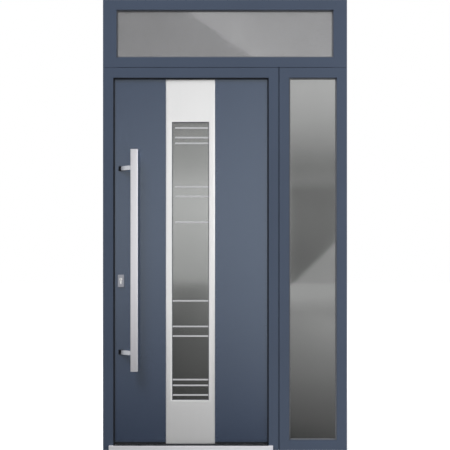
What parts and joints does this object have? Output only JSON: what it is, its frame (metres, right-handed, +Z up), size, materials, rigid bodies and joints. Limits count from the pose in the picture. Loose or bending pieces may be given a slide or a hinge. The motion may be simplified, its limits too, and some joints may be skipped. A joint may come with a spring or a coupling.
{
  "type": "door with sidelight and transom",
  "caption": "Modern metal entrance door with a glazed steel strip and long pull bar, one glazed side panel and a glazed top light, in a slim frame.",
  "frame": {"origin": "middle of the whole frame's width and of its depth, on the flat underside that stands on the floor", "axes": "+X to the right seen from outside, +Y into the house, +Z up"},
  "size_m": [1.32, 0.2152, 2.438],
  "materials": {
    "frame_paint": "satin blue-grey",
    "steel": "brushed",
    "cylinder": "satin",
    "aluminium": "satin anodised",
    "black_rubber": "matte",
    "glass": "clear",
    "spacer": "matte",
    "foam": "matte"
  },
  "bodies": {
    "frame": {"door_jamb_lock": "frame_paint", "door_jamb_hinge": "frame_paint", "door_head": "frame_paint", "strike_plate": "steel", "threshold": "aluminium", "door_weather_seal": "black_rubber", "sidelight_stile_left": "frame_paint", "sidelight_stile_right": "frame_paint", "sidelight_head": "frame_paint", "sidelight_sill": "frame_paint", "sidelight_panes": "glass", "sidelight_spacer": "spacer", "sidelight_gasket": "black_rubber", "sidelight_beads": "frame_paint", "transom_stile_left": "frame_paint", "transom_stile_right": "frame_paint", "transom_head": "frame_paint", "transom_sill": "frame_paint", "transom_panes": "glass", "transom_spacer": "spacer", "transom_gasket": "black_rubber", "transom_beads": "frame_paint", "hinge_jamb_side": "steel", "hinge_pins": "steel"},
    "leaf": {"leaf_outer_skin": "frame_paint", "leaf_inner_skin": "frame_paint", "leaf_edge_frame": "frame_paint", "leaf_core": "foam", "leaf_foot_profile": "black_rubber", "leaf_strip": "steel", "leaf_panes": "glass", "leaf_pane_spacer": "spacer", "leaf_glass_gasket": "black_rubber", "leaf_glazing_frame": "frame_paint", "pull_bar": "steel", "pull_posts": "steel", "lock_plate_outer": "steel", "lock_plate_inner": "steel", "lock_cylinder": "cylinder", "lock_edge_plate": "steel", "lever_rose": "steel", "lever_handle": "steel", "hinge_leaf_side": "steel"}
  },
  "joints": [
    {"name": "leaf_hinge", "type": "hinge", "parent": "frame", "child": "leaf", "pos_m": [0.2543, 0.057, 1.03], "axis": [0, 0, -1], "range_deg": [0, 100]}
  ]
}
